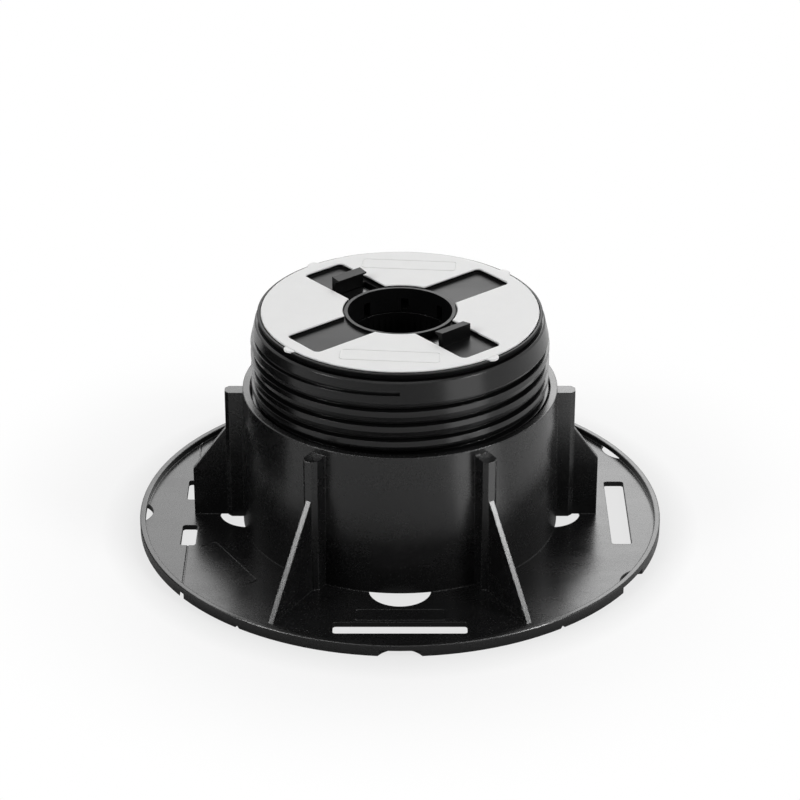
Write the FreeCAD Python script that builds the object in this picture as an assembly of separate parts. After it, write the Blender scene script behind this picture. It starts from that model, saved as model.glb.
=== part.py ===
"""Adjustable deck pedestal: a moulded base with a threaded tower, a screw that rises out of it, and a padded head.

Millimetres, +Z up. The origin is the centre of the base's underside. The front, where azimuth 0 lies, is -Y, and
azimuth grows counter-clockwise seen from above, so +X is azimuth 90.
"""
import FreeCAD
import Part
import math
import os

# Heights of the deck face above the ground: as drawn, screwed right down and screwed right out
rest_height = 89.0
lowest_height = 75.0
floor_gap = 0.5              # left under the screw when it is right down

# Base flange
base_radius = 100.0
plate_thickness = 2.0
rim_width = 2.2
rim_height = 4.3
rim_edge_chamfer = 0.3
floor_opening_radius = 44.0
slot_edge_inset = 12.2       # from the base's edge to the far side of a slot
slot_width = 7.6
slot_length = 48.6
slot_corner_radius = 1.2
short_slot_edge_inset = 16.9
short_slot_width = 5.7
short_slot_length = 15.2
short_slot_bridge = 20.0
scallop_radius = 9.4
scallop_reach = 4.7          # how far a scallop reaches in from the base's edge
scallop_height = 2.3         # of the notch that it leaves in the rim
drain_radius = 11.5
tear_line_width = 0.6
tear_line_depth = 0.3
tear_notch_width = 1.5       # in the rim's lower edge, at the end of a tear line
tear_notch_height = 2.0
rim_mark_width = 1.8         # V marks in the rim's lower edge
rim_mark_height = 1.0
rim_mark_azimuth = 36.0

# Tower and its posts and gussets
tower_height = 57.8
tower_wall = 2.8
tower_draft = 1.0            # degrees
tower_edge_chamfer = 0.2
post_width = 5.9
post_depth = 6.9             # from the tower's mouth radius to the post's face
post_drop = 2.5              # below the tower's mouth
post_chamfer = 1.5
gusset_thickness = 2.2
gusset_height = 39.3
gusset_edge_inset = 6.5      # from the base's edge to the gusset's toe
gusset_slot_gap = 4.6        # between a cut-off gusset and the slot before it
gusset_bridge_inset = 1.7    # how far the gusset between the short slots runs past their near side

# Screw and thread
thread_pitch = 6.0
thread_radius = 55.9
groove_depth = 2.2
groove_mouth = 2.2
groove_floor = 1.4
groove_run_out = 2.8         # slant of the groove's end wall, along the thread
crest_relief_height = 1.8    # the lower part of each crest leans in
crest_relief_depth = 0.5
groove_top = 3.9             # from the screw's top down to the groove's end at the front
screw_wall = 2.4             # behind the groove
shoulder_inset = 1.9         # the taper from the thread's radius to the screw's top edge
shoulder_length = 8.5
shoulder_edge_chamfer = 0.6
foot_chamfer = 1.2
bore_clearance = 0.6         # tower bore over thread crest
thread_clearance = 0.3       # between the tower's ridge and the screw's groove, flank and floor
ridge_turns = 2
ridge_drop = 2.5             # from the tower's mouth to the ridge's upper end
deck_thickness = 3.0
socket_wall = 2.2
socket_depth = 24.0          # below the screw's top
spline_count = 48
spline_height = 0.6
spline_width = 1.1
spline_lead = 0.5            # plain bore above the splines
spline_slope = 6.0           # fall of a spline's top towards the bore
web_count = 6
web_thickness = 2.0
web_height = 14.0

# Head
head_radius = 53.2
head_thickness = 2.6
head_edge_chamfer = 0.3
head_undercut = 1.0          # the rim leans in towards its lower edge
head_gap = 0.2               # running gap between head and screw
hub_bore_radius = 19.5
hub_wall = 1.3
hub_clearance = 0.4          # hub tube in the screw's deck
clip_reach = 0.9             # clip bead beyond the hub tube
clip_height = 1.4
clip_gap = 0.3               # clip bead under the deck
clip_tail = 2.2              # hub tube below the clip bead
clip_slot_width = 3.0
clip_slot_count = 8
socket_clearance = 0.7       # socket wall outside the clip bead
channel_count = 4
channel_azimuth = 39.8
channel_width = 18.0
channel_end_inset = 6.7      # from the head's edge to a channel's end
channel_corner_radius = 2.0
channel_depth = 1.1
pocket_length = 9.2          # opening between the hub and a hook
pocket_width = 15.0
hook_width = 13.5
hook_thickness = 2.0
hook_height = 5.5            # above the channel floor
hook_lip = 2.0
hook_lip_thickness = 1.2
hook_slope = 0.6             # fall of the hook's top towards the lip

# Pad
pad_thickness = 0.6
pad_edge_inset = 1.4         # inside the head's edge
pad_edge_chamfer = 0.3
pad_hub_gap = 0.6            # around the hub tube
pad_groove_width = 0.4       # in the head, around the pad
pad_groove_depth = 0.6
lug_radius = 2.8
lug_overhang = 0.8           # past the head's edge
lug_drop = 0.4               # below the head's top
lug_shoulder = 0.2           # below the pad's top

# Levels and radii that follow
head_top = rest_height - pad_thickness
head_bottom = head_top - head_thickness
channel_floor = head_top - channel_depth
screw_top = head_bottom - head_gap
screw_bottom = plate_thickness + floor_gap + rest_height - lowest_height
deck_bottom = screw_top - deck_thickness
thread_root = thread_radius - groove_depth
shoulder_radius = thread_radius - shoulder_inset
screw_bore = thread_root - screw_wall
groove_end = screw_top - groove_top
tower_bore = thread_radius + bore_clearance
tower_top_radius = tower_bore + tower_wall
tower_foot_radius = tower_top_radius + (tower_height - plate_thickness) * math.tan(math.radians(tower_draft))
post_radius = tower_top_radius + post_depth
post_top = tower_height - post_drop
gusset_toe = base_radius - gusset_edge_inset
slot_near = base_radius - slot_edge_inset - slot_width
short_slot_near = base_radius - short_slot_edge_inset - short_slot_width
hub_radius = hub_bore_radius + hub_wall
deck_bore = hub_radius + hub_clearance
clip_top = deck_bottom - clip_gap
clip_bottom = clip_top - clip_height
hub_bottom = clip_bottom - clip_tail
socket_bore = hub_radius + clip_reach + socket_clearance
socket_ledge = hub_bottom - clip_gap
spline_bore = hub_bore_radius - hub_clearance
channel_end = head_radius - channel_end_inset
hook_near = hub_radius + pocket_length
pad_radius = head_radius - pad_edge_inset
pad_bore = hub_radius + pad_hub_gap
overlap = 0.5                # how far fused features are sunk into what carries them

Z_AXIS = FreeCAD.Vector(0, 0, 1)
ORIGIN = FreeCAD.Vector(0, 0, 0)


def at_azimuth(shape, azimuth):
    """Turns a shape modelled along -Y (azimuth 0) to its azimuth."""
    turned = shape.copy()
    turned.rotate(ORIGIN, Z_AXIS, azimuth)
    return turned


def block(width, near, far, low, high):
    """A box across azimuth 0: width along X, from radius near to radius far, from level low to level high."""
    corner = FreeCAD.Vector(-width / 2, -far, low)
    return Part.makeBox(width, far - near, high - low, corner)


def rounded_block(width, near, far, low, high, radius):
    """As block, with its four upright edges rounded."""
    box = block(width, near, far, low, high)
    upright = [edge for edge in box.Edges if abs(edge.tangentAt(edge.FirstParameter).z) > 0.99]
    return box.makeFillet(radius, upright)


def cylinder(radius, low, high, distance=0.0):
    """An upright cylinder whose axis lies at a distance along azimuth 0."""
    return Part.makeCylinder(radius, high - low, FreeCAD.Vector(0, -distance, low))


def revolved(outline):
    """A solid of revolution from (radius, level) corners; a third value breaks that corner by a chamfer."""
    points = [FreeCAD.Vector(corner[0], 0, corner[1]) for corner in outline]
    corners = []
    for index, point in enumerate(points):
        chamfer = outline[index][2] if len(outline[index]) > 2 else 0.0
        if chamfer == 0.0:
            corners.append(point)
            continue
        back = (points[index - 1] - point).normalize()
        ahead = (points[(index + 1) % len(points)] - point).normalize()
        corners += [point + back * chamfer, point + ahead * chamfer]
    face = Part.Face(Part.makePolygon(corners + corners[:1]))
    return face.revolve(ORIGIN, Z_AXIS, 360)


def upright_profile(points, thickness):
    """A plate across azimuth 0 from (radius, level) corners, centred on the azimuth's plane."""
    corners = [FreeCAD.Vector(-thickness / 2, -radius, level) for radius, level in points]
    face = Part.Face(Part.makePolygon(corners + corners[:1]))
    return face.extrude(FreeCAD.Vector(thickness, 0, 0))


def radial_profile(points, near, far):
    """A bar along azimuth 0 from radius near to radius far, with (sideways, level) corners."""
    corners = [FreeCAD.Vector(sideways, -near, level) for sideways, level in points]
    face = Part.Face(Part.makePolygon(corners + corners[:1]))
    return face.extrude(FreeCAD.Vector(0, near - far, 0))


def thread_sweep(section, upper_level, turns):
    """Sweeps (radius, height) corners down a right-hand helix that ends at azimuth 0 at the upper level.

    The sweep is a list of single turns, each one pitch below the last.
    """
    helix = Part.makeHelix(thread_pitch, thread_pitch, thread_root)
    corners = [FreeCAD.Vector(radius, 0, level) for radius, level in section]
    profile = Part.makePolygon(corners + corners[:1])
    turn = Part.Wire(helix.Edges).makePipeShell([profile], True, True)
    turn.rotate(ORIGIN, Z_AXIS, -90)
    turn.translate(FreeCAD.Vector(0, 0, upper_level - thread_pitch))
    sweep = []
    for index in range(turns):
        lower = turn.copy()
        lower.translate(FreeCAD.Vector(0, 0, -thread_pitch * index))
        sweep.append(lower)
    return sweep


def thread_section(inner, outer, shrink):
    """The groove's trapezium between two radii, narrowed on each flank by shrink."""
    slope = (groove_mouth - groove_floor) / 2 / groove_depth

    def half(radius):
        return groove_floor / 2 + (radius - thread_root) * slope - shrink

    return [(inner, -half(inner)), (outer, -half(outer)), (outer, half(outer)), (inner, half(inner))]


def groove_section():
    """The groove's trapezium, run out past the crest, whose lower part leans in above the upper flank."""
    beyond = thread_radius + overlap
    lower_flank = thread_section(thread_root, beyond, 0.0)[:2]
    upper_flank = thread_section(thread_root, thread_radius - crest_relief_depth, 0.0)[2:]
    rise = crest_relief_height * (crest_relief_depth + overlap) / crest_relief_depth
    return lower_flank + [(beyond, upper_flank[0][1] + rise)] + upper_flank


def make_base():
    """The foot: flange, rim and tower in one revolve, then posts, gussets, ridge and cut-outs."""
    rim_inner = base_radius - rim_width
    body = revolved([
        (floor_opening_radius, 0), (base_radius, 0), (base_radius, rim_height, rim_edge_chamfer),
        (rim_inner, rim_height, rim_edge_chamfer), (rim_inner, plate_thickness),
        (tower_foot_radius, plate_thickness), (tower_top_radius, tower_height, tower_edge_chamfer),
        (tower_bore, tower_height, tower_edge_chamfer), (tower_bore, plate_thickness),
        (floor_opening_radius, plate_thickness)])

    post_root = tower_bore + tower_wall / 2
    post_half = post_width / 2
    outline = [(-post_half, post_root), (-post_half, post_radius - post_chamfer),
               (-post_half + post_chamfer, post_radius), (post_half - post_chamfer, post_radius),
               (post_half, post_radius - post_chamfer), (post_half, post_root)]
    corners = [FreeCAD.Vector(x, -radius, plate_thickness - overlap) for x, radius in outline]
    face = Part.Face(Part.makePolygon(corners + corners[:1]))
    post = face.extrude(FreeCAD.Vector(0, 0, post_top - plate_thickness + overlap))

    foot = plate_thickness - overlap
    gusset = upright_profile(
        [(post_root, foot), (gusset_toe, foot), (gusset_toe, plate_thickness), (post_radius, gusset_height),
         (post_root, gusset_height)], gusset_thickness)
    beyond_slot = block(post_width, slot_near - gusset_slot_gap, base_radius, foot, tower_height)
    beyond_bridge = block(post_width, short_slot_near + gusset_bridge_inset, base_radius, foot, tower_height)
    gussets = {30: gusset, 90: gusset.cut(beyond_slot), 150: gusset, -150: gusset, -30: gusset,
               -90: gusset.cut(beyond_bridge)}

    ridge_level = tower_height - ridge_drop
    ridge_azimuth = 360.0 * (ridge_level - groove_end) / thread_pitch
    ridge = thread_sweep(
        thread_section(thread_root + thread_clearance, tower_bore + tower_wall / 2, thread_clearance),
        ridge_level, ridge_turns)

    body = body.fuse([at_azimuth(post, azimuth) for azimuth in gussets]
                     + [at_azimuth(plate, azimuth) for azimuth, plate in gussets.items()]
                     + [at_azimuth(turn, ridge_azimuth) for turn in ridge])

    long_slot = rounded_block(slot_length, slot_near, slot_near + slot_width, -overlap, plate_thickness + overlap,
                              slot_corner_radius)
    cuts = [at_azimuth(long_slot, azimuth) for azimuth in (0, 90, 180)]
    short_slot = rounded_block(short_slot_length, short_slot_near, short_slot_near + short_slot_width, -overlap,
                               plate_thickness + overlap, slot_corner_radius)
    short_centre = (short_slot_bridge + short_slot_length) / 2
    tear_radius = short_slot_near + short_slot_width / 2
    tear_start = short_slot_bridge / 2 + short_slot_length - slot_corner_radius
    tear_end = math.sqrt(rim_inner ** 2 - (tear_radius + tear_line_width / 2) ** 2)
    tear_line = block(tear_end - tear_start, tear_radius - tear_line_width / 2, tear_radius + tear_line_width / 2,
                      plate_thickness - tear_line_depth, plate_thickness + overlap)
    tear_notch = block(base_radius - tear_end, tear_radius - tear_notch_width / 2, tear_radius + tear_notch_width / 2,
                       -overlap, tear_notch_height)
    for side in (-1, 1):
        for cut_out, centre in ((short_slot, short_centre), (tear_line, (tear_start + tear_end) / 2),
                                (tear_notch, (tear_end + base_radius) / 2)):
            beside = cut_out.copy()
            beside.translate(FreeCAD.Vector(side * centre, 0, 0))
            cuts.append(at_azimuth(beside, -90))
    drain = cylinder(drain_radius, -overlap, plate_thickness, tower_bore + tower_wall / 2)
    cuts += [at_azimuth(drain, azimuth) for azimuth in (0, 90, 180, 270)]
    scallop = cylinder(scallop_radius, -overlap, scallop_height, base_radius - scallop_reach + scallop_radius)
    cuts += [at_azimuth(scallop, azimuth) for azimuth in (0, 60, 120, -90)]
    rim_mark = radial_profile([(-rim_mark_width / 2, 0), (rim_mark_width / 2, 0), (0, rim_mark_height)],
                              rim_inner, base_radius + overlap)
    cuts += [at_azimuth(rim_mark, azimuth) for azimuth in (-rim_mark_azimuth, rim_mark_azimuth)]
    return body.cut(cuts).removeSplitter()


def make_screw():
    """The hollow screw: a revolved shell with deck, socket and splines, webs beneath and the thread groove."""
    body = revolved([
        (screw_bore, screw_bottom), (thread_radius - foot_chamfer, screw_bottom),
        (thread_radius, screw_bottom + foot_chamfer), (thread_radius, screw_top - shoulder_length),
        (shoulder_radius, screw_top, shoulder_edge_chamfer), (deck_bore, screw_top), (deck_bore, deck_bottom),
        (socket_bore, deck_bottom), (socket_bore, socket_ledge), (spline_bore, socket_ledge),
        (spline_bore, screw_top - socket_depth), (socket_bore + socket_wall, screw_top - socket_depth),
        (socket_bore + socket_wall, deck_bottom), (screw_bore, deck_bottom)])
    web = block(web_thickness, socket_bore + socket_wall - overlap, screw_bore + overlap,
                deck_bottom - web_height, deck_bottom + overlap)
    spline_foot, spline_top = screw_top - socket_depth, socket_ledge - spline_lead
    spline_crest = spline_bore - spline_height
    spline = upright_profile(
        [(spline_bore + overlap, spline_foot), (spline_bore + overlap, spline_top), (spline_bore, spline_top),
         (spline_crest, spline_top - spline_slope), (spline_crest, spline_foot)], spline_width)
    body = body.fuse([at_azimuth(web, 360.0 * index / web_count) for index in range(web_count)]
                     + [at_azimuth(spline, 360.0 * index / spline_count) for index in range(spline_count)])
    turns = math.ceil((groove_end - screw_bottom) / thread_pitch) + 1
    groove = thread_sweep(groove_section(), groove_end, turns)
    groove_low, groove_high = groove_end - groove_mouth / 2, groove_end + groove_mouth / 2
    end_wall = radial_profile(
        [(-groove_run_out, groove_low), (overlap, groove_low), (overlap, groove_high), (0, groove_high)],
        thread_root - overlap, thread_radius + overlap)
    groove[0] = groove[0].cut(end_wall)
    return body.cut(groove).removeSplitter()


def channel_recess(low, high):
    """The cross of channels and the ring around the hub, as one upright tool."""
    arm = rounded_block(channel_width, 0, channel_end, low, high, channel_corner_radius)
    centre = cylinder(pad_bore, low, high)
    return centre.fuse([at_azimuth(arm, channel_azimuth + 360.0 * index / channel_count)
                        for index in range(channel_count)]).removeSplitter()


def lug_places():
    """Azimuths of the pad's lugs, one past the end of each channel."""
    return [channel_azimuth + 360.0 * index / channel_count for index in range(channel_count)]


def lug(low, high):
    """An upright lug at the pad's edge, reaching a little past the head's edge."""
    return cylinder(lug_radius, low, high, head_radius + lug_overhang - lug_radius)


def make_head():
    """The disc with its channels, pockets and hub tube, and the two rail hooks."""
    groove_outer = pad_radius + pad_groove_width
    disc = revolved([
        (hub_bore_radius, head_bottom), (head_radius - head_undercut, head_bottom),
        (head_radius, head_top - head_edge_chamfer), (head_radius - head_edge_chamfer, head_top),
        (groove_outer, head_top), (groove_outer, head_top - pad_groove_depth),
        (pad_radius, head_top - pad_groove_depth), (pad_radius, head_top), (hub_bore_radius, head_top)])
    disc = disc.cut(channel_recess(channel_floor, head_top + overlap))
    pocket = block(pocket_width, 0, hook_near, head_bottom - overlap, head_top)
    notch = lug(head_top - lug_drop, head_top + overlap)
    disc = disc.cut([at_azimuth(pocket, channel_azimuth), at_azimuth(pocket, channel_azimuth + 180)]
                    + [at_azimuth(notch, azimuth) for azimuth in lug_places()])

    hub = revolved([
        (hub_bore_radius, hub_bottom), (hub_radius, hub_bottom), (hub_radius + clip_reach, clip_bottom),
        (hub_radius + clip_reach, clip_top), (hub_radius, clip_top), (hub_radius, head_top),
        (hub_bore_radius, head_top)])
    clip_slot = block(clip_slot_width, hub_bore_radius - overlap, hub_radius + clip_reach + overlap,
                      hub_bottom - overlap, deck_bottom + deck_thickness / 2)
    hub = hub.cut([at_azimuth(clip_slot, channel_azimuth + 360.0 * index / clip_slot_count)
                   for index in range(clip_slot_count)])

    hook_far = hook_near + hook_thickness
    hook_top = channel_floor + hook_height
    lip_tip = hook_near - hook_lip
    hook = upright_profile(
        [(hook_far, head_bottom), (hook_far, hook_top), (lip_tip, hook_top - hook_slope),
         (lip_tip, hook_top - hook_lip_thickness), (hook_near, hook_top - hook_lip_thickness - hook_slope),
         (hook_near, head_bottom)], hook_width)
    return disc.fuse([hub, at_azimuth(hook, channel_azimuth), at_azimuth(hook, channel_azimuth + 180)]
                     ).removeSplitter()


def make_pad():
    """The rubber pad: a rounded ring on the head's top, cut by the channels, with lugs over the rim."""
    ring = revolved([
        (pad_bore, head_top), (pad_radius, head_top), (pad_radius, rest_height, pad_edge_chamfer),
        (pad_bore, rest_height)])
    ring = ring.cut(channel_recess(head_top - overlap, rest_height + overlap))
    nub = lug(head_top - lug_drop, rest_height - lug_shoulder)
    return ring.fuse([at_azimuth(nub, azimuth) for azimuth in lug_places()]).removeSplitter()


pieces = {"base": make_base(), "screw": make_screw(), "head": make_head(), "pad": make_pad()}
os.makedirs("parts", exist_ok=True)
for name, shape in pieces.items():
    shape.exportStep(f"parts/{name}.step")
    print(f"{name}: {len(shape.Solids)} solid, valid {shape.isValid()}, {shape.Volume / 1000:.1f} cm3")
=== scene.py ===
import math

import bmesh
import bpy
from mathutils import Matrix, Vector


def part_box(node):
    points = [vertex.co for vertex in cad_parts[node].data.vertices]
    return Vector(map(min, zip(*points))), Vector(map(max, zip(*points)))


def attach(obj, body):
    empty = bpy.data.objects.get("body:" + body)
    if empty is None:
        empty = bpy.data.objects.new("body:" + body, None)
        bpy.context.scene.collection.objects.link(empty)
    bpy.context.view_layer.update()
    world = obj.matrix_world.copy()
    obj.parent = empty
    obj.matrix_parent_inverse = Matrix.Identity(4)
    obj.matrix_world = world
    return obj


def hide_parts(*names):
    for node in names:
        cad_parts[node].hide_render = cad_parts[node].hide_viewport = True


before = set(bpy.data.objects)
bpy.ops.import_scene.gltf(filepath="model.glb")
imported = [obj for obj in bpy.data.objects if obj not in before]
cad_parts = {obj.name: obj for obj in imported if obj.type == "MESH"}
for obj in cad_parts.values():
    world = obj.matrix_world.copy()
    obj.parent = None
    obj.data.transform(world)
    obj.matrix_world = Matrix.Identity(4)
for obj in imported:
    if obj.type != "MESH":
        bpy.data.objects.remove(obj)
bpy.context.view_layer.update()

# Base: one injection moulding in black talc-filled polypropylene. Flange, rim, tower, posts and gussets leave
# the mould together, so one satin skin covers them: almost black, with a fine grain that breaks up its gloss
# and edges just soft enough to draw a thin highlight.
MILLIMETRE = 0.001


def add_node(tree, kind, **settings):
    """A node with its properties, and its unlinked inputs given by name."""
    node = tree.nodes.new(kind)
    for name, value in settings.items():
        if name in node.inputs:
            node.inputs[name].default_value = value
        else:
            setattr(node, name, value)
    return node


def map_range(tree, value, low, high, to_low, to_high, interpolation="LINEAR"):
    """Carries a value from one range to another, held at both ends."""
    scaled = add_node(tree, "ShaderNodeMapRange", interpolation_type=interpolation)
    for name, number in (("From Min", low), ("From Max", high), ("To Min", to_low), ("To Max", to_high)):
        scaled.inputs[name].default_value = number
    tree.links.new(value, scaled.inputs["Value"])
    return scaled.outputs["Result"]


def noise(tree, place, size, detail, stretch=(1, 1, 1)):
    """Cloudy noise with lumps of about one size, in millimetres, drawn out along an axis by stretch."""
    mapping = add_node(tree, "ShaderNodeMapping", Scale=[1 / factor for factor in stretch])
    tree.links.new(place, mapping.inputs["Vector"])
    clouds = add_node(tree, "ShaderNodeTexNoise", Scale=1 / (size * MILLIMETRE), Detail=detail, Roughness=0.6)
    tree.links.new(mapping.outputs["Vector"], clouds.inputs["Vector"])
    return clouds.outputs["Fac"]


def moulded_plastic(name, shade, mirror, gloss, grain_size, edge_radius):
    """Black plastic as it leaves the mould: gloss is its (smoothest, dullest) patch, sizes in millimetres."""
    flow_size = 14
    flow_stretch = (3, 1, 1)
    grain_share = 0.4
    grain_depth = 0.02
    blue_cast = 1.04
    noise_low, noise_high = 0.3, 0.7
    material = bpy.data.materials.new(name)
    material.use_nodes = True
    tree = material.node_tree
    tree.nodes.clear()
    place = add_node(tree, "ShaderNodeTexCoord").outputs["Object"]
    grain = noise(tree, place, grain_size, detail=3.0)
    flow = noise(tree, place, flow_size, detail=4.0, stretch=flow_stretch)

    tone = add_node(tree, "ShaderNodeValToRGB")
    for stop, position, share in ((0, noise_low, 0.7), (1, noise_high, 1.3)):
        tone.color_ramp.elements[stop].position = position
        tone.color_ramp.elements[stop].color = (shade * share, shade * share, shade * share * blue_cast, 1)
    tree.links.new(grain, tone.inputs["Fac"])

    dullness = add_node(tree, "ShaderNodeMix", data_type="FLOAT")
    dullness.inputs["Factor"].default_value = grain_share
    tree.links.new(flow, dullness.inputs["A"])
    tree.links.new(grain, dullness.inputs["B"])
    roughness = map_range(tree, dullness.outputs["Result"], noise_low, noise_high, *gloss)

    soft_edge = add_node(tree, "ShaderNodeBevel", Radius=edge_radius * MILLIMETRE, samples=6)
    bump = add_node(tree, "ShaderNodeBump", Strength=0.3, Distance=grain_depth * MILLIMETRE)
    tree.links.new(grain, bump.inputs["Height"])
    tree.links.new(soft_edge.outputs["Normal"], bump.inputs["Normal"])

    skin = add_node(tree, "ShaderNodeBsdfPrincipled", IOR=1.49)
    skin.inputs["Specular IOR Level"].default_value = mirror
    tree.links.new(tone.outputs["Color"], skin.inputs["Base Color"])
    tree.links.new(roughness, skin.inputs["Roughness"])
    tree.links.new(bump.outputs["Normal"], skin.inputs["Normal"])
    output = add_node(tree, "ShaderNodeOutputMaterial")
    tree.links.new(skin.outputs["BSDF"], output.inputs["Surface"])
    return material


def finish_node(node, material):
    """Gives a carried-over piece its finish."""
    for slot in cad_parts[node].material_slots:
        slot.material = material


base_plastic = moulded_plastic("base_plastic", shade=0.005, mirror=0.45, gloss=(0.2, 0.33), grain_size=0.9,
                               edge_radius=0.5)
finish_node("base", base_plastic)


# Bare frames on the flange: two thin raised lines, each round an oblong of plain plastic, one between the
# tower and the front slot and one near the short slots at the left. They are cut into the mould, so they are
# one with the base.
plate_top = 2.0 * MILLIMETRE
flange_frame_distance = 75.2
flange_frame_step = -59
flange_frame_length, flange_frame_width = 33, 7.4
frame_corner = 1.5
frame_line_radius = 0.2


def node_tree(name, **kinds):
    """A geometry tree with named inputs, and the node that gives them out."""
    tree = bpy.data.node_groups.new(name, "GeometryNodeTree")
    tree.is_modifier = True
    tree.interface.new_socket("Geometry", in_out="OUTPUT", socket_type="NodeSocketGeometry")
    for label, kind in kinds.items():
        tree.interface.new_socket(label.replace("_", " "), in_out="INPUT", socket_type=kind)
    return tree, tree.nodes.new("NodeGroupInput")


def ring_of_points(tree, sizes):
    """Points about the upright axis, counted from the front, and the turn that each one has made."""
    line = add_node(tree, "GeometryNodeMeshLine")
    tree.links.new(sizes.outputs["Count"], line.inputs["Count"])
    azimuth = add_node(tree, "ShaderNodeMath", operation="MULTIPLY_ADD")
    tree.links.new(add_node(tree, "GeometryNodeInputIndex").outputs["Index"], azimuth.inputs[0])
    tree.links.new(sizes.outputs["Azimuth Step"], azimuth.inputs[1])
    tree.links.new(sizes.outputs["First Azimuth"], azimuth.inputs[2])
    forwards = add_node(tree, "ShaderNodeMath", operation="MULTIPLY")
    forwards.inputs[1].default_value = -1.0
    tree.links.new(sizes.outputs["Radius"], forwards.inputs[0])
    in_front = add_node(tree, "ShaderNodeCombineXYZ")
    tree.links.new(forwards.outputs["Value"], in_front.inputs["Y"])
    tree.links.new(sizes.outputs["Level"], in_front.inputs["Z"])
    around = add_node(tree, "ShaderNodeVectorRotate", rotation_type="Z_AXIS")
    tree.links.new(in_front.outputs["Vector"], around.inputs["Vector"])
    tree.links.new(azimuth.outputs["Value"], around.inputs["Angle"])
    placed = add_node(tree, "GeometryNodeSetPosition")
    tree.links.new(line.outputs["Mesh"], placed.inputs["Geometry"])
    tree.links.new(around.outputs["Vector"], placed.inputs["Position"])
    turn = add_node(tree, "ShaderNodeCombineXYZ")
    tree.links.new(azimuth.outputs["Value"], turn.inputs["Z"])
    return placed.outputs["Geometry"], turn.outputs["Vector"]


def set_copies(tree, sizes, shape):
    """Sets a shape on each point of the ring and ends the tree as plain mesh with its finish."""
    points, turns = ring_of_points(tree, sizes)
    copies = add_node(tree, "GeometryNodeInstanceOnPoints")
    tree.links.new(points, copies.inputs["Points"])
    tree.links.new(shape, copies.inputs["Instance"])
    tree.links.new(turns, copies.inputs["Rotation"])
    smooth = add_node(tree, "GeometryNodeSetShadeSmooth")
    tree.links.new(copies.outputs["Instances"], smooth.inputs["Geometry"])
    plain = add_node(tree, "GeometryNodeRealizeInstances")
    tree.links.new(smooth.outputs["Geometry"], plain.inputs["Geometry"])
    finished = add_node(tree, "GeometryNodeSetMaterial")
    tree.links.new(plain.outputs["Geometry"], finished.inputs["Geometry"])
    tree.links.new(sizes.outputs["Finish"], finished.inputs["Material"])
    output = tree.nodes.new("NodeGroupOutput")
    tree.links.new(finished.outputs["Geometry"], output.inputs["Geometry"])


def grown(name, tree, **values):
    """The plain mesh that a geometry tree makes from its named sizes."""
    piece = bpy.data.objects.new(name, bpy.data.meshes.new(name))
    bpy.context.scene.collection.objects.link(piece)
    modifier = piece.modifiers.new(name, "NODES")
    modifier.node_group = tree
    for socket in tree.interface.items_tree:
        if socket.in_out == "INPUT":
            modifier[socket.identifier] = values[socket.name.replace(" ", "_")]
    mesh = bpy.data.meshes.new_from_object(piece.evaluated_get(bpy.context.evaluated_depsgraph_get()))
    piece.modifiers.clear()
    piece.data = mesh
    return piece


number = "NodeSocketFloat"
frame_tree, sizes = node_tree("raised_frames", Count="NodeSocketInt", Radius=number, Level=number,
                              First_Azimuth=number, Azimuth_Step=number, Length=number, Width=number,
                              Corner=number, Line=number, Finish="NodeSocketMaterial")
oblong = add_node(frame_tree, "GeometryNodeCurvePrimitiveQuadrilateral")
frame_tree.links.new(sizes.outputs["Length"], oblong.inputs["Width"])
frame_tree.links.new(sizes.outputs["Width"], oblong.inputs["Height"])
rounded = add_node(frame_tree, "GeometryNodeFilletCurve", mode="POLY", Count=5)
frame_tree.links.new(oblong.outputs["Curve"], rounded.inputs["Curve"])
frame_tree.links.new(sizes.outputs["Corner"], rounded.inputs["Radius"])
bead = add_node(frame_tree, "GeometryNodeCurvePrimitiveCircle", Resolution=8)
frame_tree.links.new(sizes.outputs["Line"], bead.inputs["Radius"])
raised_line = add_node(frame_tree, "GeometryNodeCurveToMesh")
frame_tree.links.new(rounded.outputs["Curve"], raised_line.inputs["Curve"])
frame_tree.links.new(bead.outputs["Curve"], raised_line.inputs["Profile Curve"])
set_copies(frame_tree, sizes, raised_line.outputs["Mesh"])

flange_frames = grown(
    "flange_frames", frame_tree, Count=2, Radius=flange_frame_distance * MILLIMETRE, Level=plate_top,
    First_Azimuth=0.0, Azimuth_Step=math.radians(flange_frame_step), Length=flange_frame_length * MILLIMETRE,
    Width=flange_frame_width * MILLIMETRE, Corner=frame_corner * MILLIMETRE,
    Line=frame_line_radius * MILLIMETRE, Finish=base_plastic)
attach(flange_frames, "base")


# Plate ends: at both ends of the tear line the flange's plate runs on to the rim, above the notch that starts
# the tear. They are moulded in one with the base, in the same black plastic.
tear_distance = 80.25
tear_line_width = 0.6
tear_notch_width = 1.5
rim_width = 2.2
hidden_edge = 0.2
hidden_face = 0.05
rim_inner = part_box("base")[1].x / MILLIMETRE - rim_width


def rim_wall(sideways):
    """How far out along the tear line the rim's inner wall stands, in millimetres."""
    return math.sqrt(rim_inner ** 2 - sideways ** 2)


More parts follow.
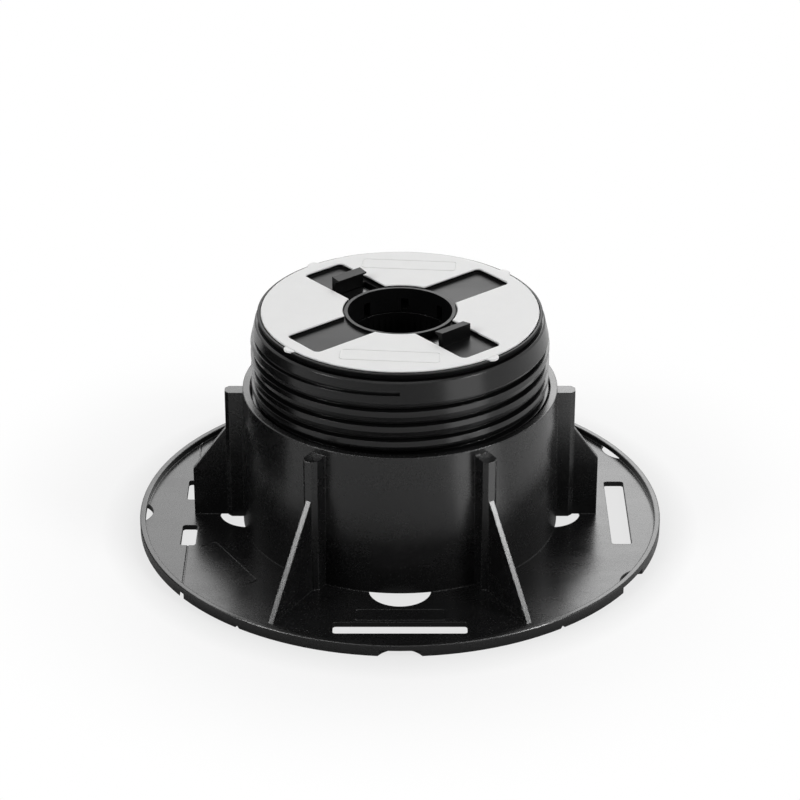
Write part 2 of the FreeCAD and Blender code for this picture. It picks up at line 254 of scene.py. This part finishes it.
near_side = tear_distance - tear_notch_width / 2 - hidden_edge
web_start = rim_wall(tear_distance + tear_line_width / 2) - hidden_edge
web_corners = [(near_side, web_start), (near_side, rim_wall(near_side)), (rim_wall(web_start), web_start)]
web_levels = (hidden_face, plate_top / MILLIMETRE - hidden_face)
webs = bmesh.new()
for end in (-1, 1):
    low, high = ([webs.verts.new((-x * MILLIMETRE, end * y * MILLIMETRE, level * MILLIMETRE))
                  for x, y in web_corners]
                 for level in web_levels)
    webs.faces.new(low)
    webs.faces.new(high)
    for index in range(len(low)):
        webs.faces.new((low[index - 1], low[index], high[index], high[index - 1]))
bmesh.ops.recalc_face_normals(webs, faces=webs.faces[:])
web_mesh = bpy.data.meshes.new("plate_ends")
webs.to_mesh(web_mesh)
webs.free()
web_mesh.materials.append(base_plastic)
plate_ends = bpy.data.objects.new("plate_ends", web_mesh)
bpy.context.scene.collection.objects.link(plate_ends)
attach(plate_ends, "base")


# Screw: a hollow moulding in the same black plastic, turned by a key from above. Its coarse groove runs in
# the tower's thread, which has rubbed the crests a little smoother than the skin of the base.
screw_plastic = moulded_plastic("screw_plastic", shade=0.0032, mirror=0.36, gloss=(0.17, 0.28),
                                grain_size=0.9, edge_radius=0.2)
finish_node("screw", screw_plastic)


# Head: a thin black disc snapped into the screw, with four crossed channels and two upright hooks moulded on.
# The mould was spark-eroded under the channels, so its skin is duller than the rest.
head_plastic = moulded_plastic("head_plastic", shade=0.004, mirror=0.1, gloss=(0.28, 0.42), grain_size=0.7,
                               edge_radius=0.2)
finish_node("head", head_plastic)


# Pad: a thin light grey rubber mat on the head, four sectors joined by an outer ring and parted by the
# channels. It is moulded onto the disc, flush with the channels' walls, and its upper edges are rounded.
pad_low, pad_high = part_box("pad")
pad_top = pad_high.z / MILLIMETRE
pad_radius = pad_high.x / MILLIMETRE
pad_thickness = 0.6
pad_rounding = 0.35
pad_face_inset = 1.2 * pad_rounding
pad_bore = 21.4
channel_count = 4
channel_azimuth = 39.8
channel_width = 18.0
channel_end = 46.5
channel_corner = 2.0
ROUNDING_STEPS = 4
CORNER_STEPS = 5
HUB_STEPS = 10
CIRCLE_STEPS = 180


def at(azimuth, distance, sideways=0.0):
    """A place in plan: distance out along an azimuth, then sideways counter-clockwise."""
    return (distance * math.sin(azimuth) + sideways * math.cos(azimuth),
            sideways * math.sin(azimuth) - distance * math.cos(azimuth))


def channel_cross(grow):
    """The outline of the crossed channels and the hub's ring, moved out into the rubber by grow."""
    half, hub, corner = channel_width / 2 + grow, pad_bore + grow, channel_corner + grow
    corner_distance = channel_end + grow - corner
    side = half - corner
    quarter = [math.pi / 2 * step / CORNER_STEPS for step in range(CORNER_STEPS + 1)]
    mouth = math.asin(half / hub)
    between = 2 * math.pi / channel_count
    outline = []
    for index in range(channel_count):
        azimuth = math.radians(channel_azimuth) + between * index
        outline += [at(azimuth, corner_distance + corner * math.sin(turn), -side - corner * math.cos(turn))
                    for turn in quarter]
        outline += [at(azimuth, corner_distance + corner * math.cos(turn), side + corner * math.sin(turn))
                    for turn in quarter]
        outline += [at(azimuth + mouth + (between - 2 * mouth) * step / HUB_STEPS, hub)
                    for step in range(HUB_STEPS + 1)]
    return outline


def pad_edge(inset):
    """The pad's round outer edge, moved in by inset."""
    return [at(2 * math.pi * step / CIRCLE_STEPS, pad_radius - inset) for step in range(CIRCLE_STEPS)]


def rounded_wall(mesh, outline):
    """An edge from the head's face up and over its rounding; gives its first and last loop of points."""
    steps = [(0.0, pad_top - pad_thickness)]
    for step in range(ROUNDING_STEPS + 1):
        turn = math.pi / 2 * step / ROUNDING_STEPS
        steps.append((pad_rounding * (1 - math.cos(turn)), pad_top - pad_rounding * (1 - math.sin(turn))))
    steps.append((pad_face_inset, pad_top))
    loops = [[mesh.verts.new((x * MILLIMETRE, y * MILLIMETRE, level * MILLIMETRE)) for x, y in outline(inset)]
             for inset, level in steps]
    for lower, upper in zip(loops, loops[1:]):
        for index in range(len(lower)):
            after = (index + 1) % len(lower)
            mesh.faces.new((lower[index], lower[after], upper[after], upper[index]))
    return loops[0], loops[-1]


def loop_edges(mesh, *loops):
    """The edges round closed loops of points."""
    return [mesh.edges.get((loop[index], loop[(index + 1) % len(loop)]))
            for loop in loops for index in range(len(loop))]


def pad_rubber(name, shade):
    """Light grey rubber: a fine matt grain with faint handling marks; sizes in millimetres."""
    grain_size = 0.5
    grain_share = 0.45
    grain_depth = 0.03
    smudge_size = 16
    warm_cast = 0.995
    mirror = 0.3
    smoothest, dullest = 0.62, 0.8
    noise_low, noise_high = 0.3, 0.7
    material = bpy.data.materials.new(name)
    material.use_nodes = True
    tree = material.node_tree
    tree.nodes.clear()
    place = add_node(tree, "ShaderNodeTexCoord").outputs["Object"]
    grain = noise(tree, place, grain_size, detail=3.0)
    smudges = noise(tree, place, smudge_size, detail=4.0)
    mixed = add_node(tree, "ShaderNodeMix", data_type="FLOAT")
    mixed.inputs["Factor"].default_value = grain_share
    tree.links.new(smudges, mixed.inputs["A"])
    tree.links.new(grain, mixed.inputs["B"])
    tone = add_node(tree, "ShaderNodeValToRGB")
    for stop, position, share in ((0, 0.32, 0.965), (1, 0.68, 1.03)):
        tone.color_ramp.elements[stop].position = position
        tone.color_ramp.elements[stop].color = (shade * share, shade * share, shade * share * warm_cast, 1)
    tree.links.new(mixed.outputs["Result"], tone.inputs["Fac"])
    bump = add_node(tree, "ShaderNodeBump", Strength=0.25, Distance=grain_depth * MILLIMETRE)
    tree.links.new(grain, bump.inputs["Height"])
    skin = add_node(tree, "ShaderNodeBsdfPrincipled", IOR=1.5)
    skin.inputs["Specular IOR Level"].default_value = mirror
    tree.links.new(tone.outputs["Color"], skin.inputs["Base Color"])
    roughness = map_range(tree, mixed.outputs["Result"], noise_low, noise_high, smoothest, dullest)
    tree.links.new(roughness, skin.inputs["Roughness"])
    tree.links.new(bump.outputs["Normal"], skin.inputs["Normal"])
    output = add_node(tree, "ShaderNodeOutputMaterial")
    tree.links.new(skin.outputs["BSDF"], output.inputs["Surface"])
    return material


grey_rubber = pad_rubber("grey_rubber", shade=0.78)
mat = bmesh.new()
outer_foot, outer_top = rounded_wall(mat, pad_edge)
inner_foot, inner_top = rounded_wall(mat, channel_cross)
for edges in (loop_edges(mat, outer_foot, inner_foot), loop_edges(mat, outer_top, inner_top)):
    bmesh.ops.triangle_fill(mat, use_beauty=True, edges=edges)
bmesh.ops.recalc_face_normals(mat, faces=mat.faces[:])
pad_mesh = bpy.data.meshes.new("pad_mat")
mat.to_mesh(pad_mesh)
mat.free()
pad_mesh.shade_smooth()
pad_mesh.materials.append(grey_rubber)
pad_mat = bpy.data.objects.new("pad_mat", pad_mesh)
bpy.context.scene.collection.objects.link(pad_mat)
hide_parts("pad")
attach(pad_mat, "head")


# Pad lugs and bare frames: four round lugs of the same rubber keyed into the head's edge past the channels,
# and two thin raised lines on the pad's face, each round a plain oblong, at the front and the back.
lug_radius = 2.8
lug_overhang = 0.8
lug_step_down = 0.2
lug_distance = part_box("head")[1].x / MILLIMETRE + lug_overhang - lug_radius
lug_bottom, lug_top = pad_low.z / MILLIMETRE, pad_top - lug_step_down
pad_frame_distance = 39.6
pad_frame_azimuth = -5.2
pad_frame_length, pad_frame_width = 36, 8
lug_tree, sizes = node_tree("pad_lugs", Count="NodeSocketInt", Radius=number, Level=number,
                            First_Azimuth=number, Azimuth_Step=number, Lug_Radius=number, Lug_Height=number,
                            Finish="NodeSocketMaterial")
lug = add_node(lug_tree, "GeometryNodeMeshCylinder", Vertices=20)
lug.inputs["Side Segments"].default_value = 4
lug.inputs["Fill Segments"].default_value = 4
lug_tree.links.new(sizes.outputs["Lug Radius"], lug.inputs["Radius"])
lug_tree.links.new(sizes.outputs["Lug Height"], lug.inputs["Depth"])
softened = add_node(lug_tree, "GeometryNodeSubdivisionSurface", Level=1)
lug_tree.links.new(lug.outputs["Mesh"], softened.inputs["Mesh"])
set_copies(lug_tree, sizes, softened.outputs["Mesh"])
pad_lugs = grown(
    "pad_lugs", lug_tree, Count=channel_count, Radius=lug_distance * MILLIMETRE,
    Level=(lug_bottom + lug_top) / 2 * MILLIMETRE, First_Azimuth=math.radians(channel_azimuth),
    Azimuth_Step=2 * math.pi / channel_count, Lug_Radius=lug_radius * MILLIMETRE,
    Lug_Height=(lug_top - lug_bottom) * MILLIMETRE, Finish=grey_rubber)
pad_frames = grown(
    "pad_frames", frame_tree, Count=2, Radius=pad_frame_distance * MILLIMETRE, Level=pad_top * MILLIMETRE,
    First_Azimuth=math.radians(pad_frame_azimuth), Azimuth_Step=math.pi, Length=pad_frame_length * MILLIMETRE,
    Width=pad_frame_width * MILLIMETRE, Corner=frame_corner * MILLIMETRE,
    Line=frame_line_radius * MILLIMETRE, Finish=grey_rubber)
for piece in (pad_lugs, pad_frames):
    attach(piece, "head")


# Floor: a plain white sweep that the pedestal stands on. To the lens it is white further out, and round the
# pedestal it shows some of the light that falls on it, so that it keeps the shadow. To the plastic's gloss it
# glows white as a painted reflection, dimmer towards the pedestal's left, and its colour is painted dark
# where the base covers it, a painted shadow under the base.
floor_size = 8.0
floor_drop = 0.0001
shadow_start, shadow_end, shadow_white = 0.095, 0.19, 0.75
# Painted shadow: the floor's colour goes dark under the base, from just past the base's edge inwards.
painted_shadow_start, painted_shadow_end = 0.095, 0.115
painted_shadow_tone, open_tone = 0.1, 0.9
# Painted reflection: to the plastic's gloss the floor glows white, dimmest round this place at the pedestal's
# left.
dim_place = (-0.1, 0, 0)
dim_start, dim_end, dim_white = 0.1, 0.55, 0.1
half = floor_size / 2
floor_corners = [(-half, -half, 0), (half, -half, 0), (half, half, 0), (-half, half, 0)]
floor_mesh = bpy.data.meshes.new("floor")
floor_mesh.from_pydata(floor_corners, [], [(0, 1, 2, 3)])
floor = bpy.data.objects.new("floor", floor_mesh)
bpy.context.scene.collection.objects.link(floor)
floor.location.z = -floor_drop
floor_white = bpy.data.materials.new("floor_white")
floor_white.use_nodes = True
tree = floor_white.node_tree
tree.nodes.clear()


def largest(tree, *values):
    """The largest of several values."""
    result = values[0]
    for value in values[1:]:
        larger = add_node(tree, "ShaderNodeMath", operation="MAXIMUM")
        tree.links.new(result, larger.inputs[0])
        tree.links.new(value, larger.inputs[1])
        result = larger.outputs["Value"]
    return result


def times(tree, first, second):
    """The product of two values."""
    product = add_node(tree, "ShaderNodeMath", operation="MULTIPLY")
    tree.links.new(first, product.inputs[0])
    tree.links.new(second, product.inputs[1])
    return product.outputs["Value"]


place = add_node(tree, "ShaderNodeTexCoord").outputs["Object"]
distance = add_node(tree, "ShaderNodeVectorMath", operation="LENGTH")
tree.links.new(place, distance.inputs[0])
from_left = add_node(tree, "ShaderNodeVectorMath", operation="DISTANCE")
from_left.inputs[1].default_value = dim_place
tree.links.new(place, from_left.inputs[0])
path = add_node(tree, "ShaderNodeLightPath")
lens_white = map_range(tree, distance.outputs["Value"], shadow_start, shadow_end, shadow_white, 1.0,
                       "SMOOTHSTEP")
# Painted reflection: the floor's glow as the plastic's gloss sees it, dim near the pedestal's left.
painted_reflection_white = map_range(tree, from_left.outputs["Value"], dim_start, dim_end, dim_white, 1.0, "SMOOTHSTEP")
straight = largest(tree, path.outputs["Is Camera Ray"], path.outputs["Is Transmission Ray"])
white_share = largest(tree, times(tree, lens_white, straight),
                      times(tree, painted_reflection_white, path.outputs["Is Glossy Ray"]))
# The lit floor's colour with painted shadow: dark under the base, light beyond it.
floor_tone_with_painted_shadow = map_range(tree, distance.outputs["Value"], painted_shadow_start, painted_shadow_end, painted_shadow_tone, open_tone)
lit_floor = add_node(tree, "ShaderNodeBsdfDiffuse")
tree.links.new(floor_tone_with_painted_shadow, lit_floor.inputs["Color"])
bright_floor = add_node(tree, "ShaderNodeEmission", Color=(1, 1, 1, 1), Strength=1.0)
mixed_floor = add_node(tree, "ShaderNodeMixShader")
tree.links.new(white_share, mixed_floor.inputs["Fac"])
tree.links.new(lit_floor.outputs["BSDF"], mixed_floor.inputs[1])
tree.links.new(bright_floor.outputs["Emission"], mixed_floor.inputs[2])
floor_output = add_node(tree, "ShaderNodeOutputMaterial")
tree.links.new(mixed_floor.outputs["Shader"], floor_output.inputs["Surface"])
floor_mesh.materials.append(floor_white)


# Studio: a white room that is dim in front, with soft boxes behind for the flange's gloss, at both sides for
# light and for the gussets' slopes, and high in front for the upper edges. A black flag stands at the left of
# the pedestal and a bent white card at its right, and both show in the plastic's gloss alone.
room_light = 0.08
dim_front = 0.15
dim_until, bright_from = -0.5, 0.3
lamp_aim = 0.04
card_lift = 0.0005
world = bpy.data.worlds.new("white_room")
bpy.context.scene.world = world
world.use_nodes = True
tree = world.node_tree
tree.nodes.clear()
path = add_node(tree, "ShaderNodeLightPath")
direction = add_node(tree, "ShaderNodeSeparateXYZ")
tree.links.new(add_node(tree, "ShaderNodeTexCoord").outputs["Generated"], direction.inputs["Vector"])
behind = map_range(tree, direction.outputs["Y"], dim_until, bright_from, dim_front, 1.0, "SMOOTHSTEP")
seen = largest(tree, path.outputs["Is Camera Ray"], path.outputs["Is Transmission Ray"],
               times(tree, behind, path.outputs["Is Glossy Ray"]))
room = add_node(tree, "ShaderNodeBackground", Color=(1, 1, 1, 1))
tree.links.new(map_range(tree, seen, 0, 1, room_light, 1.0), room.inputs["Strength"])
room_output = add_node(tree, "ShaderNodeOutputWorld")
tree.links.new(room.outputs["Background"], room_output.inputs["Surface"])


def soft_box(name, azimuth, elevation, distance, width, height, brightness, lights=True, mirrored=True):
    """A lamp facing the pedestal that lights what is matt, is mirrored in what is glossy, or does both."""
    lamp = bpy.data.lights.new(name, "AREA")
    lamp.shape = "RECTANGLE"
    lamp.size = width
    lamp.size_y = height
    lamp.energy = brightness * math.pi * width * height
    box = bpy.data.objects.new(name, lamp)
    bpy.context.scene.collection.objects.link(box)
    turn, rise = math.radians(azimuth), math.radians(elevation)
    box.location = (*at(turn, distance * math.cos(rise)), lamp_aim + distance * math.sin(rise))
    box.rotation_euler = (math.pi / 2 - rise, 0, turn)
    box.visible_camera = False
    box.visible_diffuse = lights
    box.visible_glossy = mirrored


soft_box("back_left_box", azimuth=199, elevation=31, distance=1.6, width=1.0, height=0.8, brightness=2.5)
soft_box("back_right_box", azimuth=161, elevation=31, distance=1.6, width=1.0, height=0.8, brightness=4.5)
for side, azimuth, light, shine in (("left", -63.5, 20.0, 38.0), ("right", 63.5, 30.0, 58.0)):
    soft_box(side + "_box", azimuth, elevation=33, distance=1.3, width=0.3, height=0.3, brightness=light,
             mirrored=False)
    soft_box(side + "_strip", azimuth, elevation=38, distance=1.3, width=0.3, height=0.24, brightness=shine,
             lights=False)
soft_box("high_box", azimuth=0, elevation=64, distance=1.3, width=0.5, height=0.25, brightness=3.0)
soft_box("edge_strip", azimuth=0, elevation=64, distance=1.3, width=1.6, height=0.12, brightness=16.0,
         lights=False)


def card(name, corners, faces, brightness):
    """A card that only the gloss of the plastic shows."""
    mesh = bpy.data.meshes.new(name)
    mesh.from_pydata(corners, [], faces)
    board = bpy.data.objects.new(name, mesh)
    bpy.context.scene.collection.objects.link(board)
    material = bpy.data.materials.new(name)
    material.use_nodes = True
    tree = material.node_tree
    tree.nodes.clear()
    paint = add_node(tree, "ShaderNodeEmission", Color=(1, 1, 1, 1), Strength=brightness)
    output = add_node(tree, "ShaderNodeOutputMaterial")
    tree.links.new(paint.outputs["Emission"], output.inputs["Surface"])
    mesh.materials.append(material)
    board.visible_camera = False
    board.visible_diffuse = False
    board.visible_shadow = False
    board.visible_transmission = False


flag_near, flag_far = -0.11, -0.17
flag_front, flag_back = -0.045, 0.085
flag_height = 0.07
flag_corners = [(flag_far, flag_front, card_lift), (flag_far, flag_back, card_lift),
                (flag_far, flag_back, flag_height), (flag_far, flag_front, flag_height),
                (flag_near, flag_front, card_lift), (flag_near, flag_back, card_lift)]
card("left_flag", flag_corners, [(0, 1, 2, 3), (0, 4, 5, 1)], brightness=0.0)

card_near, card_far = 0.11, 0.5
card_first, card_last = math.radians(32), math.radians(60)
card_height = 0.2
card_corners = [(*at(card_first, card_near), card_lift), (*at(card_last, card_near), card_lift),
                (*at(card_last, card_far), card_lift), (*at(card_first, card_far), card_lift),
                (*at(card_last, card_far), card_height), (*at(card_first, card_far), card_height)]
card("right_card", card_corners, [(0, 1, 2, 3), (3, 2, 4, 5)], brightness=2.4)


# Camera: a long lens a little over a metre away, in front of the pedestal and above it, at the photograph's
# viewing angle.
camera_distance_front = 0.93407
camera_height = 0.53315
camera_pitch = 27.311
focal_length = 125.04
sensor_width = 36.0
lens = bpy.data.cameras.new("camera")
lens.lens = focal_length
lens.sensor_width = sensor_width
lens.clip_end = 50.0
camera = bpy.data.objects.new("camera", lens)
bpy.context.scene.collection.objects.link(camera)
camera.location = (0, -camera_distance_front, camera_height)
camera.rotation_euler = (math.radians(90 - camera_pitch), 0, 0)
bpy.context.scene.camera = camera
bpy.context.scene.view_settings.view_transform = "Standard"
